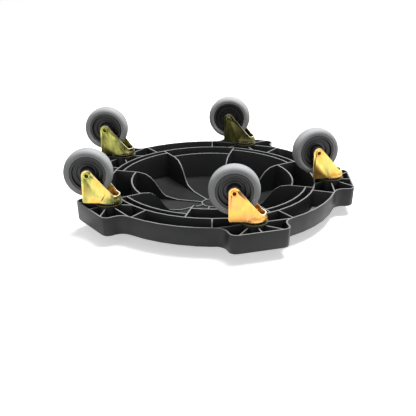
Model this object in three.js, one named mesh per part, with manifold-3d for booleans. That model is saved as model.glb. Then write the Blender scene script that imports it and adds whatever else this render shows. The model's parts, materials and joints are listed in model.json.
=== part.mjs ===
// Round five-wheeled caddy: a ribbed plastic deck on five swivel casters.
// Millimetres, +Z up, standing on its wheels, with the origin at the centre of the load face.
import * as THREE from "three";
import { mergeVertices } from "three/addons/utils/BufferGeometryUtils.js";
import Module from "manifold-3d";

// ---- Deck: driving sizes ----
const CASTER_COUNT = 5;
const SKIRT_R = 272.5; // outside of the skirt between the pads, at its open edge
const RING_R = SKIRT_R - 47.5; // middle of the wall under the raised plateau's edge
const INNER_RING_R = RING_R - 17.3; // ring wall of the four wide bays
const LOBE_RING_R = RING_R - 48; // ring wall of the four short bays
const CENTRE_RING_R = 22.5; // small ring where the bay ribs meet
const DECK_H = 63; // load face to the open edge of the ribs
const SHELF_H = 41; // top of the outer shelf to the open edge of the ribs
const WALL = 3; // skirt and ring walls
const PLATE = 3.5; // load plate and shelf plate
const RIB = 2.6; // radial ribs and gussets
const DRAFT = 0.00018; // share by which the outside narrows for each mm of height
const PLATEAU_ROUND = 5; // rounding of the plateau's upper edge
const SHELF_ROUND = 3; // rounding of the shelf's upper edge

// ---- Deck: caster pads ----
const PAD_FACE = SKIRT_R + 34; // flat outer face of a pad, from the middle
const CASTER_R = PAD_FACE - 46.5; // swivel axis from the middle
const PAD_HALF_W = 62.5;
const PAD_CORNER_R = 15;
const PAD_FILLET_R = 24; // hollow fillet from the pad's side into the skirt
const BOSS_R = 24;
const BOSS_STAND = 3.5; // how far a boss stands out past the ribs' open edge
const GUSSET_ANGLES = [0, 45, -45, 90, -90]; // round the boss, from straight outwards
const BACK_GUSSET_ANGLE = 140; // the pair that runs back to the ring
const FLANK_RIB_ANGLE = 18; // radial ribs on either side of a pad
const NUT_RECESS_R = 16;
const NUT_RECESS_DEPTH = 16;

// ---- Deck: bay ribs inside the ring ----
const BAY_COUNT = 8;
const FIRST_BAY_RIB = 13.75; // degrees from the first caster
const RIB_SLOPE_START = LOBE_RING_R - 6; // radius where a bay rib starts to fall away
const RIB_SLOPE_TURN = RIB_SLOPE_START - 45; // radius of the steepest stretch
const RIB_SLOPE_END = RIB_SLOPE_TURN - 29; // radius where it reaches its low stretch
const RIB_FOOT_H = 5.5; // height above the plate at the end of the slope
const LOW_RIB_H = 2.2; // height above the plate from there to the middle
const LOW_RIB_START = RIB_SLOPE_END - 17;

// ---- Caster ----
const WHEEL_R = 50;
const TREAD_HALF_W = 15;
const AXLE_DROP = WHEEL_R + 19; // open edge of the deck to the axle
const TRAIL = 38; // swivel axis to the axle
const SHEET = 2.8; // pressed steel of the fork
const LEG_GAP_HALF = 19.7; // half the space between the fork legs
const EAR_R = 11;
const NOSE_X = 2; // centre of the fork's rounded nose, ahead of the swivel axis
const NOSE_DEPTH = 12; // height of the wall at the nose, crown included
const NOSE_FLAT = 14; // length of its level edge on each side
const FOOT_X = -TRAIL - 1; // back edge of the legs at the crown
const FOOT_CORNER = 4;
const CROWN_R = LEG_GAP_HALF + 6.3;
const CROWN_FLARE = 11; // height over which the crown narrows to the legs
const CROWN_BACK_X = -29; // back edge of the crown plate
const RACE_R = CROWN_R + 2; // pressed upper race
const RACE_PLATE = 2.2;
const RACE_TAPER = 8; // width of the race's sloping shoulder
const BALL_D = 4.8;
const KINGPIN_R = 10;
const BALL_CIRCLE_R = KINGPIN_R + 10;
const KINGPIN_FLANGE_R = KINGPIN_R + 5;
const KINGPIN_FLANGE_T = 2;
const BOLT_R = 6; // M12
const HEX_ACROSS_FLATS = 18;
const BOLT_HEAD_H = 7.5;
const NUT_H = 10;
const WASHER_R = 12;
const WASHER_T = 2.5;
const BOLT_STICK_OUT = 1.5; // thread showing past the nut
const AXLE_R = 5;
const AXLE_BORE_R = 3.6;
const AXLE_FLARE_R = 7;
const AXLE_FLARE_T = 1.6;
const SLEEVE_R = 7;
const HUB_R = WHEEL_R - 13.3;
const HUB_HALF_W = 13.5;
const HUB_BOSS_R = 12.5;
const HUB_WEB_HALF_T = 4;
const HUB_RIM_T = 5;
const HUB_DRAFT = 1; // how far the rim and the boss lean towards the web
const TREAD_FLAT_SHARE = 0.4; // of the half width, where the tread starts to round off
const SHOULDER_SHARE = 0.85; // of the half width, half-way round the shoulder
const SHOULDER_DROP = 3; // below the tread, half-way round the shoulder
const SIDE_DROP = 8; // below the tread, where the tyre's flat side starts

// ---- Fits ----
const GAP = 0.3; // between pieces that touch
const RUN = 0.5; // between pieces that turn past each other
const EPS = 1; // how far a cutting shape runs past what it cuts

// Each caster's heading as it stands: the way its fork's nose points, in degrees from straight ahead (+X).
const HEADINGS = [-14, 1, 1.5, 5, 6.5];

// ---- How finely round shapes are faceted ----
const RING_SEGMENTS = 48;
const BOSS_SEGMENTS = 20;
const TYRE_SEGMENTS = 32;
const HUB_SEGMENTS = 20;
const DISC_SEGMENTS = 24; // races, crowns and nut recesses
const SHAFT_SEGMENTS = 12; // bolts, bushes, washers and their holes

// ---- Levels, from the load face down ----
const RIM_Z = -DECK_H;
const SHELF_Z = RIM_Z + SHELF_H;
const FLOOR_Z = -PLATE;
const AXLE_Z = RIM_Z - AXLE_DROP;
const BOSS_END_Z = RIM_Z - BOSS_STAND;
const RACE_TOP_Z = BOSS_END_Z - GAP;
const RACE_UNDER_Z = RACE_TOP_Z - RACE_PLATE;
const CROWN_TOP_Z = RACE_UNDER_Z - GAP - BALL_D - GAP;
const CROWN_UNDER_Z = CROWN_TOP_Z - SHEET;
const KINGPIN_END_Z = CROWN_UNDER_Z - GAP - KINGPIN_FLANGE_T;
const BOLT_SEAT_Z = KINGPIN_END_Z - GAP;
const RECESS_FLOOR_Z = SHELF_Z - NUT_RECESS_DEPTH;
const WASHER_TOP_Z = RECESS_FLOOR_Z + GAP + WASHER_T;
const NUT_TOP_Z = WASHER_TOP_Z + GAP + NUT_H;
const BOLT_END_Z = NUT_TOP_Z + BOLT_STICK_OUT;

const LEG_OUTER = LEG_GAP_HALF + SHEET;

// The radius of a faceted hole whose flats still clear a round piece of this radius.
const holeFor = (radius, gap = GAP, segments = SHAFT_SEGMENTS) =>
  (radius + gap) / Math.cos(Math.PI / segments);
const BOLT_HOLE_R = holeFor(BOLT_R);
const KINGPIN_HOLE_R = holeFor(KINGPIN_R);
const degrees = THREE.MathUtils.degToRad;

// ---- Materials ----
const finish = (color, roughness, metalness) =>
  new THREE.MeshStandardMaterial({ color, roughness, metalness });
const DECK_PLASTIC = finish(0x17181a, 0.55, 0);
const HUB_PLASTIC = finish(0x121314, 0.5, 0);
const TYRE_RUBBER = finish(0x77797a, 0.75, 0);
const YELLOW_ZINC = finish(0xc9a44c, 0.35, 1);
const BRIGHT_ZINC = finish(0xb9bcc0, 0.35, 1);

// ---- Solids ----
const wasm = await Module();
wasm.setup();

// A closed three.js geometry as a manifold-3d solid, for joining and cutting.
function solid(geometry) {
  const bare = new THREE.BufferGeometry();
  bare.setAttribute("position", geometry.getAttribute("position"));
  if (geometry.index) bare.setIndex(geometry.index);
  const merged = mergeVertices(bare, 1e-4);
  return new wasm.Manifold(
    new wasm.Mesh({
      numProp: 3,
      vertProperties: new Float32Array(merged.attributes.position.array),
      triVerts: new Uint32Array(merged.index.array),
    }),
  );
}

// A manifold-3d solid as a three.js geometry.
function geometryOf(body) {
  const { vertProperties, triVerts } = body.getMesh();
  const geometry = new THREE.BufferGeometry();
  geometry.setAttribute("position", new THREE.BufferAttribute(vertProperties, 3));
  geometry.setIndex(new THREE.BufferAttribute(triVerts, 1));
  return geometry;
}

const join = (geometries) =>
  geometries.map(solid).reduce((all, body) => all.add(body));

// Points along an arc, ends included, with angles in radians.
function arc(cx, cy, radius, from, to, steps) {
  return Array.from({ length: steps + 1 }, (_, i) => {
    const angle = from + ((to - from) * i) / steps;
    return new THREE.Vector2(cx + radius * Math.cos(angle), cy + radius * Math.sin(angle));
  });
}

// An outline in the XY plane, raised from z0 to z1.
const prism = (points, z0, z1) =>
  new THREE.ExtrudeGeometry(new THREE.Shape(points), {
    depth: z1 - z0,
    bevelEnabled: false,
  }).translate(0, 0, z0);

// An outline in the XZ plane, as thick as thickness and centred on Y = 0.
const slab = (points, thickness) =>
  prism(points, -thickness / 2, thickness / 2).rotateX(Math.PI / 2);

// The same as a prism, with its upper edge rounded. It runs below z0 by twice the rounding, to be cut away.
const roundedPrism = (points, z0, z1, round) =>
  new THREE.ExtrudeGeometry(new THREE.Shape(points), {
    depth: z1 - z0,
    bevelThickness: round,
    bevelSize: round,
    bevelOffset: -round,
    bevelSegments: 2,
  }).translate(0, 0, z0 - round);

// A round shape about Z from [radius, z] corners, which run upwards on its outside.
function turned(profile, segments) {
  const points = profile.map(([r, z]) => new THREE.Vector2(r, z));
  if (profile[0][0] > 0) points.push(points[0].clone());
  return new THREE.LatheGeometry(points, segments).rotateX(Math.PI / 2);
}

const cylinder = (radius, z0, z1, segments) =>
  turned([[0, z0], [radius, z0], [radius, z1], [0, z1]], segments);

const tube = (inner, outer, z0, z1, segments) =>
  turned([[inner, z0], [outer, z0], [outer, z1], [inner, z1]], segments);

const block = (x0, x1, y0, y1, z0, z1) =>
  new THREE.BoxGeometry(x1 - x0, y1 - y0, z1 - z0)
    .translate((x0 + x1) / 2, (y0 + y1) / 2, (z0 + z1) / 2);

// Copies of what make() returns, turned about Z by each of the angles, in degrees.
const around = (angles, make) =>
  angles.map((angle) => make().rotateZ(degrees(angle)));

const evenly = (count, first = 0) =>
  Array.from({ length: count }, (_, i) => first + (i * 360) / count);

// ---- Deck ----
// The skirt narrows towards the load face, so that the moulding leaves its mould.
function drafted(geometry) {
  const place = geometry.getAttribute("position");
  for (let i = 0; i < place.count; i++) {
    const share = 1 - DRAFT * (place.getZ(i) - RIM_Z);
    place.setXY(i, place.getX(i) * share, place.getY(i) * share);
  }
  return geometry;
}

// The skirt's outline with its five pads, moved inwards by inset.
function deckOutline(inset) {
  const skirt = SKIRT_R - inset;
  const face = PAD_FACE - inset;
  const half = PAD_HALF_W - inset;
  const corner = PAD_CORNER_R - inset;
  const fillet = PAD_FILLET_R + inset;
  const filletX = Math.sqrt((skirt + fillet) ** 2 - (half + fillet) ** 2);
  const meets = Math.atan2(half + fillet, filletX);
  const pitch = (2 * Math.PI) / CASTER_COUNT;
  const quarter = Math.PI / 2;
  const pad = [
    ...arc(filletX, -half - fillet, fillet, Math.PI - meets, quarter, 4),
    ...arc(face - corner, corner - half, corner, -quarter, 0, 3),
    ...arc(face - corner, half - corner, corner, 0, quarter, 3),
    ...arc(filletX, half + fillet, fillet, -quarter, meets - Math.PI, 4),
    ...arc(0, 0, skirt, meets, pitch - meets, 5).slice(1, -1),
  ];
  const middle = new THREE.Vector2();
  return evenly(CASTER_COUNT).flatMap((angle) =>
    pad.map((point) => point.clone().rotateAround(middle, degrees(angle))),
  );
}

// A wall along an arc about the middle, from the ribs' open edge up into the load plate.
function ringWall(radius, from, to) {
  const outer = radius + WALL / 2;
  const inner = radius - WALL / 2;
  const steps = 6;
  return prism(
    [
      ...arc(0, 0, outer, degrees(from), degrees(to), steps),
      ...arc(0, 0, inner, degrees(to), degrees(from), steps),
    ],
    RIM_Z - EPS,
    0,
  );
}

// A bay rib: level from the ring inwards, then an S-shaped fall to a low stretch that ends at the centre ring.
function bayRib() {
  const slope = new THREE.CubicBezierCurve(
    new THREE.Vector2(RIB_SLOPE_START, RIM_Z),
    new THREE.Vector2(RIB_SLOPE_TURN, RIM_Z),
    new THREE.Vector2(RIB_SLOPE_TURN, FLOOR_Z - RIB_FOOT_H),
    new THREE.Vector2(RIB_SLOPE_END, FLOOR_Z - RIB_FOOT_H),
  );
  return slab(
    [
      new THREE.Vector2(RING_R, RIM_Z),
      ...slope.getPoints(7),
      new THREE.Vector2(LOW_RIB_START, FLOOR_Z - LOW_RIB_H),
      new THREE.Vector2(CENTRE_RING_R, FLOOR_Z - LOW_RIB_H),
      new THREE.Vector2(CENTRE_RING_R, 0),
      new THREE.Vector2(RING_R, 0),
    ].reverse(),
    RIB,
  );
}

const radialRib = (from, to) =>
  block(from, to, -RIB / 2, RIB / 2, RIM_Z - EPS, SHELF_Z);

// A caster pad's boss with the gussets that spread from it.
function padRibs() {
  const reach = PAD_FACE; // longer than any gusset: the skirt ends them
  const sine = CASTER_R * Math.sin(degrees(BACK_GUSSET_ANGLE));
  const back = -CASTER_R * Math.cos(degrees(BACK_GUSSET_ANGLE)) - Math.sqrt(RING_R ** 2 - sine ** 2);
  return [
    cylinder(BOSS_R, RIM_Z - EPS, SHELF_Z, BOSS_SEGMENTS),
    ...around(GUSSET_ANGLES, () => radialRib(0, reach)),
    ...around([BACK_GUSSET_ANGLE, -BACK_GUSSET_ANGLE], () => radialRib(0, back)),
  ].map((piece) => piece.translate(CASTER_R, 0, 0));
}

function deckSolid() {
  const ringOuter = RING_R + WALL / 2;
  const ringInner = RING_R - WALL / 2;
  const full = 2 * Math.PI;
  const wide = 2 * PAD_FACE;
  const plateau = arc(0, 0, ringOuter, 0, full, RING_SEGMENTS).slice(0, -1);
  const outside = join([
    drafted(roundedPrism(deckOutline(0), RIM_Z, SHELF_Z, SHELF_ROUND)),
    roundedPrism(plateau, RIM_Z, 0, PLATEAU_ROUND),
  ]).subtract(solid(block(-wide, wide, -wide, wide, RIM_Z - DECK_H, RIM_Z)));

  const bayAngles = evenly(BAY_COUNT, FIRST_BAY_RIB);
  const bayPitch = 360 / BAY_COUNT;
  const flanks = evenly(CASTER_COUNT).flatMap((angle) => [
    angle - FLANK_RIB_ANGLE,
    angle + FLANK_RIB_ANGLE,
  ]);
  const ribs = join([
    tube(ringInner, ringOuter, RIM_Z - EPS, SHELF_Z, RING_SEGMENTS),
    tube(CENTRE_RING_R - RIB / 2, CENTRE_RING_R + RIB / 2, FLOOR_Z - LOW_RIB_H, 0, BOSS_SEGMENTS),
    ...bayAngles.map((from, i) =>
      ringWall(i % 2 ? LOBE_RING_R : INNER_RING_R, from, from + bayPitch),
    ),
    ...around(bayAngles, bayRib),
    ...around(flanks, () => radialRib(RING_R, SKIRT_R)),
    ...evenly(CASTER_COUNT).flatMap((angle) =>
      padRibs().map((piece) => piece.rotateZ(degrees(angle))),
    ),
  ]);
  const hollow = join([
    drafted(prism(deckOutline(WALL), RIM_Z - 2 * EPS, SHELF_Z - PLATE)),
    cylinder(ringInner, RIM_Z - 2 * EPS, FLOOR_Z, RING_SEGMENTS),
  ]);
  const bolts = join(
    evenly(CASTER_COUNT).flatMap((angle) =>
      [
        cylinder(BOLT_HOLE_R, BOSS_END_Z - EPS, SHELF_Z, SHAFT_SEGMENTS),
        cylinder(NUT_RECESS_R, RECESS_FLOOR_Z, SHELF_Z + EPS, DISC_SEGMENTS),
      ].map((cut) => cut.translate(CASTER_R, 0, 0).rotateZ(degrees(angle))),
    ),
  );
  const bossEnds = join(
    around(evenly(CASTER_COUNT), () =>
      cylinder(BOSS_R, BOSS_END_Z, RIM_Z + EPS, BOSS_SEGMENTS).translate(CASTER_R, 0, 0),
    ),
  );
  return outside.subtract(hollow.subtract(ribs)).add(bossEnds).subtract(bolts);
}

// ---- Caster: pieces that stay with the deck ----
// The pressed upper race, a disc over the balls.
const raceGeometry = () =>
  turned(
    [
      [KINGPIN_HOLE_R, RACE_UNDER_Z],
      [RACE_R, RACE_UNDER_Z],
      [RACE_R, RACE_UNDER_Z + RACE_PLATE / 2],
      [RACE_R - RACE_TAPER, RACE_TOP_Z],
      [KINGPIN_HOLE_R, RACE_TOP_Z],
    ],
    DISC_SEGMENTS,
  );

// The hollow kingpin: its flange holds the fork up against the balls.
const kingpinGeometry = () =>
  turned(
    [
      [BOLT_HOLE_R, KINGPIN_END_Z],
      [KINGPIN_FLANGE_R, KINGPIN_END_Z],
      [KINGPIN_FLANGE_R, KINGPIN_END_Z + KINGPIN_FLANGE_T],
      [KINGPIN_R, KINGPIN_END_Z + KINGPIN_FLANGE_T],
      [KINGPIN_R, RACE_TOP_Z],
      [BOLT_HOLE_R, RACE_TOP_Z],
    ],
    SHAFT_SEGMENTS,
  );

// The ring of bearing balls, as one ring of their size.
const ballRingGeometry = () =>
  turned(
    arc(BALL_CIRCLE_R, RACE_UNDER_Z - GAP - BALL_D / 2, BALL_D / 2, -Math.PI, Math.PI, 5)
      .slice(0, -1)
      .map((point) => [point.x, point.y]),
    SHAFT_SEGMENTS,
  );

// A hexagon prism about Z.
const hexagon = (z0, z1) =>
  cylinder(HEX_ACROSS_FLATS / Math.sqrt(3), z0, z1, 6);

const boltGeometry = () =>
  geometryOf(
    join([
      hexagon(BOLT_SEAT_Z - BOLT_HEAD_H, BOLT_SEAT_Z),
      cylinder(BOLT_R, BOLT_SEAT_Z - EPS, BOLT_END_Z, SHAFT_SEGMENTS),
    ]),
  );

const washerGeometry = () =>
  tube(BOLT_HOLE_R, WASHER_R, WASHER_TOP_Z - WASHER_T, WASHER_TOP_Z, SHAFT_SEGMENTS);

const nutGeometry = () =>
  geometryOf(
    solid(hexagon(NUT_TOP_Z - NUT_H, NUT_TOP_Z)).subtract(
      solid(cylinder(BOLT_HOLE_R, NUT_TOP_Z - NUT_H - EPS, NUT_TOP_Z + EPS, SHAFT_SEGMENTS)),
    ),
  );

// ---- Caster: the fork ----
// The outline of a fork of this half width, seen from below: straight legs and a rounded nose.
function forkPlan(half) {
  const back = -TRAIL - EAR_R - EPS;
  return [
    new THREE.Vector2(back, -half),
    ...arc(NOSE_X, 0, half, -Math.PI / 2, Math.PI / 2, 8),
    new THREE.Vector2(back, half),
  ];
}

// Where a line from the point touches the ear's circle, as an angle about the axle. side is 1 or -1.
function touchAngle(x, z, side) {
  const reach = Math.hypot(x + TRAIL, z - AXLE_Z);
  return Math.atan2(z - AXLE_Z, x + TRAIL) + side * Math.acos(EAR_R / reach);
}

// The fork seen from the side: crown, sloping front edge, round ear at the axle and near-upright back edge.
function forkSide() {
  const noseZ = CROWN_TOP_Z - NOSE_DEPTH;
  const slopeX = NOSE_X + NOSE_FLAT;
  const footZ = CROWN_TOP_Z - FOOT_CORNER;
  const front = touchAngle(slopeX, noseZ, -1);
  const back = touchAngle(FOOT_X, footZ, 1) - 2 * Math.PI;
  return [
    new THREE.Vector2(FOOT_X + FOOT_CORNER, CROWN_TOP_Z),
    new THREE.Vector2(CROWN_R + EPS, CROWN_TOP_Z),
    new THREE.Vector2(CROWN_R + EPS, noseZ),
    new THREE.Vector2(slopeX, noseZ),
    ...arc(-TRAIL, AXLE_Z, EAR_R, front, back, 7),
    new THREE.Vector2(FOOT_X, footZ),
  ].reverse();
}

function forkGeometry() {
  const lowZ = AXLE_Z - EAR_R - EPS;
  const flareZ = CROWN_TOP_Z - CROWN_FLARE;
  const shell = join([
    prism(forkPlan(LEG_OUTER), lowZ, CROWN_TOP_Z),
    turned([[0, flareZ], [LEG_OUTER, flareZ], [CROWN_R, CROWN_UNDER_Z], [CROWN_R, CROWN_TOP_Z], [0, CROWN_TOP_Z]], DISC_SEGMENTS),
  ]);
  const inside = join([
    prism(forkPlan(LEG_GAP_HALF), lowZ - EPS, CROWN_UNDER_Z),
    turned([[0, flareZ], [LEG_GAP_HALF, flareZ], [CROWN_R - SHEET, CROWN_UNDER_Z], [0, CROWN_UNDER_Z]], DISC_SEGMENTS),
    block(-TRAIL - 2 * EAR_R, CROWN_BACK_X, -LEG_GAP_HALF, LEG_GAP_HALF, CROWN_UNDER_Z - EPS, CROWN_TOP_Z + EPS),
    cylinder(KINGPIN_HOLE_R, CROWN_UNDER_Z - EPS, CROWN_TOP_Z + EPS, SHAFT_SEGMENTS),
    cylinder(holeFor(AXLE_R), -2 * LEG_OUTER, 2 * LEG_OUTER, SHAFT_SEGMENTS)
      .rotateX(Math.PI / 2)
      .translate(-TRAIL, 0, AXLE_Z),
  ]);
  const side = solid(slab(forkSide(), 4 * CROWN_R));
  return geometryOf(shell.intersect(side).subtract(inside));
}

// ---- Caster: axle and wheel, about Z until they are laid along Y ----
// The hollow axle, with its ends flared over the fork's legs.
function axleGeometry() {
  const seat = LEG_OUTER + GAP;
  const end = seat + AXLE_FLARE_T;
  return turned(
    [
      [AXLE_BORE_R, -end],
      [AXLE_FLARE_R, -seat],
      [AXLE_R, -seat],
      [AXLE_R, seat],
      [AXLE_FLARE_R, seat],
      [AXLE_BORE_R, end],
    ],
    SHAFT_SEGMENTS,
  );
}

const sleeveGeometry = () =>
  tube(holeFor(AXLE_R), SLEEVE_R, GAP - LEG_GAP_HALF, LEG_GAP_HALF - GAP, SHAFT_SEGMENTS);

function hubGeometry() {
  const bore = holeFor(SLEEVE_R, RUN, HUB_SEGMENTS);
  const boss = LEG_GAP_HALF - RUN;
  const half = [
    [HUB_R, HUB_HALF_W],
    [HUB_R - HUB_RIM_T, HUB_HALF_W],
    [HUB_R - HUB_RIM_T - HUB_DRAFT, HUB_WEB_HALF_T],
    [HUB_BOSS_R + HUB_DRAFT, HUB_WEB_HALF_T],
    [HUB_BOSS_R, boss],
    [bore, boss],
  ];
  const lower = half.map(([r, z]) => [r, -z]).reverse();
  return turned([...lower, ...half], HUB_SEGMENTS);
}

function tyreGeometry() {
  const inner = holeFor(HUB_R, GAP, TYRE_SEGMENTS);
  const half = [
    [WHEEL_R, TREAD_HALF_W * TREAD_FLAT_SHARE],
    [WHEEL_R - SHOULDER_DROP, TREAD_HALF_W * SHOULDER_SHARE],
    [WHEEL_R - SIDE_DROP, TREAD_HALF_W],
    [inner, TREAD_HALF_W],
  ];
  const lower = half.map(([r, z]) => [r, -z]).reverse();
  return turned([...lower, ...half], TYRE_SEGMENTS);
}

// ---- Assembly ----
const caddy = new THREE.Group();

function add(parent, name, geometry, material) {
  const mesh = new THREE.Mesh(geometry, material);
  mesh.name = name;
  parent.add(mesh);
}

add(caddy, "deck", geometryOf(deckSolid()), DECK_PLASTIC);

HEADINGS.forEach((heading, index) => {
  const number = index + 1;
  const angle = (index * 360) / CASTER_COUNT;
  const pad = new THREE.Group();
  pad.rotation.z = degrees(angle);
  caddy.add(pad);
  const seat = new THREE.Group();
  seat.position.x = CASTER_R;
  pad.add(seat);
  add(seat, `upper_race_${number}`, raceGeometry(), YELLOW_ZINC);
  add(seat, `kingpin_${number}`, kingpinGeometry(), YELLOW_ZINC);
  add(seat, `ball_ring_${number}`, ballRingGeometry(), BRIGHT_ZINC);
  add(seat, `mounting_bolt_${number}`, boltGeometry(), BRIGHT_ZINC);
  add(seat, `washer_${number}`, washerGeometry(), BRIGHT_ZINC);
  add(seat, `lock_nut_${number}`, nutGeometry(), BRIGHT_ZINC);

  const swivel = new THREE.Group();
  swivel.rotation.z = degrees(heading - angle);
  seat.add(swivel);
  add(swivel, `fork_${number}`, forkGeometry(), YELLOW_ZINC);

  const wheel = new THREE.Group();
  wheel.position.set(-TRAIL, 0, AXLE_Z);
  wheel.rotation.x = Math.PI / 2;
  swivel.add(wheel);
  add(wheel, `axle_tube_${number}`, axleGeometry(), YELLOW_ZINC);
  add(wheel, `bearing_sleeve_${number}`, sleeveGeometry(), BRIGHT_ZINC);
  add(wheel, `wheel_hub_${number}`, hubGeometry(), HUB_PLASTIC);
  add(wheel, `tyre_${number}`, tyreGeometry(), TYRE_RUBBER);
});

export default caddy;
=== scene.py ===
# %% [markdown]
# # A round plant pot caddy
# The real caddy is one black injection moulding, full of thin ribs, on five swivel casters. Each caster
# is a yellow-zinc pressed fork on a ring of balls, with a grey rubber tyre on a black plastic hub. It
# rests here upside down, wheels in the air, so the camera hangs below it with its top towards -Z. The
# engineering model is the fixed frame: it gives every place and size, and this file makes the surfaces
# that are seen.

# %% Load the fixed frame
import json
import math

import bpy
from mathutils import Matrix, Vector


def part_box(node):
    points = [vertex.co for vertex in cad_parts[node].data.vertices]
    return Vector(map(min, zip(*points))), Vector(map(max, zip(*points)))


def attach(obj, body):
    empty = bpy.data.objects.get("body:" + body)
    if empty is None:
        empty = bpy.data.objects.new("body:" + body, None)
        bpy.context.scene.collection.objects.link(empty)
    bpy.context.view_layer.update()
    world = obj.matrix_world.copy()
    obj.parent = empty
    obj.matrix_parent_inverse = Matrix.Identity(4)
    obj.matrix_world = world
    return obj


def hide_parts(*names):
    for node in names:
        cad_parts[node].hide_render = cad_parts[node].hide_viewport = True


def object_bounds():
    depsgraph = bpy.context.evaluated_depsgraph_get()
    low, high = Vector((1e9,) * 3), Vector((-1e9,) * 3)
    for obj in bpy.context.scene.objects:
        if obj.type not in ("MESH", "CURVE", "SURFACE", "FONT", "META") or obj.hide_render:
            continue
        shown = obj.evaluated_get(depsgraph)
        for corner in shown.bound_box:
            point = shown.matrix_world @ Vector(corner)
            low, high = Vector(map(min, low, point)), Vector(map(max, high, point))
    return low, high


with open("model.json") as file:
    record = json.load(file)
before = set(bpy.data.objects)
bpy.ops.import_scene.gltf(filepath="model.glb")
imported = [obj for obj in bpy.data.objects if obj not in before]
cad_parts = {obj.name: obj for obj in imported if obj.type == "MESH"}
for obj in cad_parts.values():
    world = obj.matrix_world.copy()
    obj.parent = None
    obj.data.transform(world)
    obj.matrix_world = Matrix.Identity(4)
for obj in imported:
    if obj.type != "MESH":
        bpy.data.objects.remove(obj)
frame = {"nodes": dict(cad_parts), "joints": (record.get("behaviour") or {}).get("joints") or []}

cad_low, cad_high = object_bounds()
MM = 0.001
TAU = 2 * math.pi
joints = {joint["name"]: joint for joint in frame["joints"]}
CASTERS = range(1, 6)
print("caddy", [round(high - low, 4) for low, high in zip(cad_low, cad_high)])

# %% [markdown]
# ## Where each caster stands
# A caster is modelled once, with its swivel axis at the middle and its nose towards +X, and then copied
# to its pad. The joints say where the pads are and which way each caster points, so nothing is placed by
# eye.

# %% Places of the casters
def heading(number):
    """The way the caster's nose points, as an angle about Z."""
    across = Vector(joints[f"roll_{number}"]["axis"])
    return math.atan2(-across.x, across.y)


def pivot(number):
    """The foot of the caster's swivel axis, on Z = 0."""
    x, y = joints[f"swivel_{number}"]["pos_m"][:2]
    return Vector((x, y, 0))


def caster_place(number):
    return Matrix.Translation(pivot(number)) @ Matrix.Rotation(heading(number), 4, "Z")


def pad_place(number):
    spot = pivot(number)
    return Matrix.Translation(spot) @ Matrix.Rotation(math.atan2(spot.y, spot.x), 4, "Z")


def local_box(node, place):
    """Lowest and highest corner of a node, measured in the axes of the caster or pad that it belongs to."""
    back = place.inverted()
    corners = [back @ vertex.co for vertex in frame["nodes"][node].data.vertices]
    low = Vector([min(c[i] for c in corners) for i in range(3)])
    high = Vector([max(c[i] for c in corners) for i in range(3)])
    return low, high


for number in CASTERS:
    print("caster", number, "turned", round(math.degrees(heading(number)), 1))

# %% [markdown]
# ## Small tools for modelling
# Most metal and rubber pieces here are turned or pressed, so each starts as a chain of vertices: one
# vertex, extruded from point to point, then spun or filled and extruded. A bevel and smooth shading by
# angle finish them.

# %% Helpers: select, draw, spin, raise, round
def select_only(thing):
    bpy.ops.object.select_all(action="DESELECT")
    thing.select_set(True)
    bpy.context.view_layer.objects.active = thing


def draw(name, points, closed=True):
    """A new object with one chain of vertices through the points, open in edit mode."""
    bpy.ops.object.select_all(action="DESELECT")
    bpy.ops.mesh.primitive_plane_add(size=MM)
    thing = bpy.context.active_object
    thing.name = name
    thing.data.name = name
    bpy.ops.object.mode_set(mode="EDIT")
    bpy.ops.mesh.select_all(action="SELECT")
    bpy.ops.mesh.merge(type="CENTER")
    here = Vector((0, 0, 0))
    points = [Vector(point) for point in points]
    bpy.ops.transform.translate(value=points[0] - here)
    ring = points + points[:1] if closed else points
    for start, end in zip(ring, ring[1:]):
        bpy.ops.mesh.extrude_vertices_move(TRANSFORM_OT_translate={"value": end - start})
    bpy.ops.mesh.select_all(action="SELECT")
    bpy.ops.mesh.remove_doubles(threshold=1e-6)
    return thing


def close_edit():
    """Merges doubles, turns all faces outwards and leaves edit mode."""
    bpy.ops.mesh.select_all(action="SELECT")
    bpy.ops.mesh.remove_doubles(threshold=1e-6)
    bpy.ops.mesh.normals_make_consistent(inside=False)
    bpy.ops.object.mode_set(mode="OBJECT")


def spun(name, points, steps, center=(0, 0, 0), axis=(0, 0, 1), closed=True):
    """A turned piece: the profile, spun once about the axis."""
    thing = draw(name, points, closed)
    bpy.ops.mesh.spin(steps=steps, angle=TAU, center=center, axis=axis, use_auto_merge=True)
    close_edit()
    return thing


def raised(name, points, move):
    """A flat outline, filled and extruded by the vector move."""
    thing = draw(name, points)
    bpy.ops.mesh.edge_face_add()
    bpy.ops.mesh.extrude_region_move(TRANSFORM_OT_translate={"value": move})
    close_edit()
    return thing


def apply_all(thing):
    select_only(thing)
    for modifier in list(thing.modifiers):
        bpy.ops.object.modifier_apply(modifier=modifier.name)


def combined(thing, other, operation):
    """Cuts or joins with the other solid, which is used up."""
    modifier = thing.modifiers.new("combine", "BOOLEAN")
    modifier.operation = operation
    modifier.solver = "EXACT"
    modifier.object = other
    apply_all(thing)
    bpy.data.objects.remove(other)
    return thing


def rounded(thing, width, segments=2, angle=math.radians(30)):
    """Rounds the edges that are sharper than the angle."""
    modifier = thing.modifiers.new("round", "BEVEL")
    modifier.width = width
    modifier.segments = segments
    modifier.limit_method = "ANGLE"
    modifier.angle_limit = angle
    modifier.use_clamp_overlap = True
    apply_all(thing)
    return thing


def smooth(thing, angle=math.radians(40)):
    select_only(thing)
    bpy.ops.object.shade_smooth_by_angle(angle=angle)
    return thing


def copied(thing, name, place):
    """A copy with its own mesh, whose place is in the mesh."""
    select_only(thing)
    bpy.ops.object.duplicate()
    twin = bpy.context.active_object
    twin.name = name
    twin.data.name = name
    twin.matrix_world = place
    bpy.ops.object.transform_apply(location=True, rotation=True, scale=True)
    return twin


def arc(center, radius, start, end, steps):
    """Points along an arc in a plane, as pairs."""
    return [
        (
            center[0] + radius * math.cos(start + (end - start) * i / steps),
            center[1] + radius * math.sin(start + (end - start) * i / steps),
        )
        for i in range(steps + 1)
    ]


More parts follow.
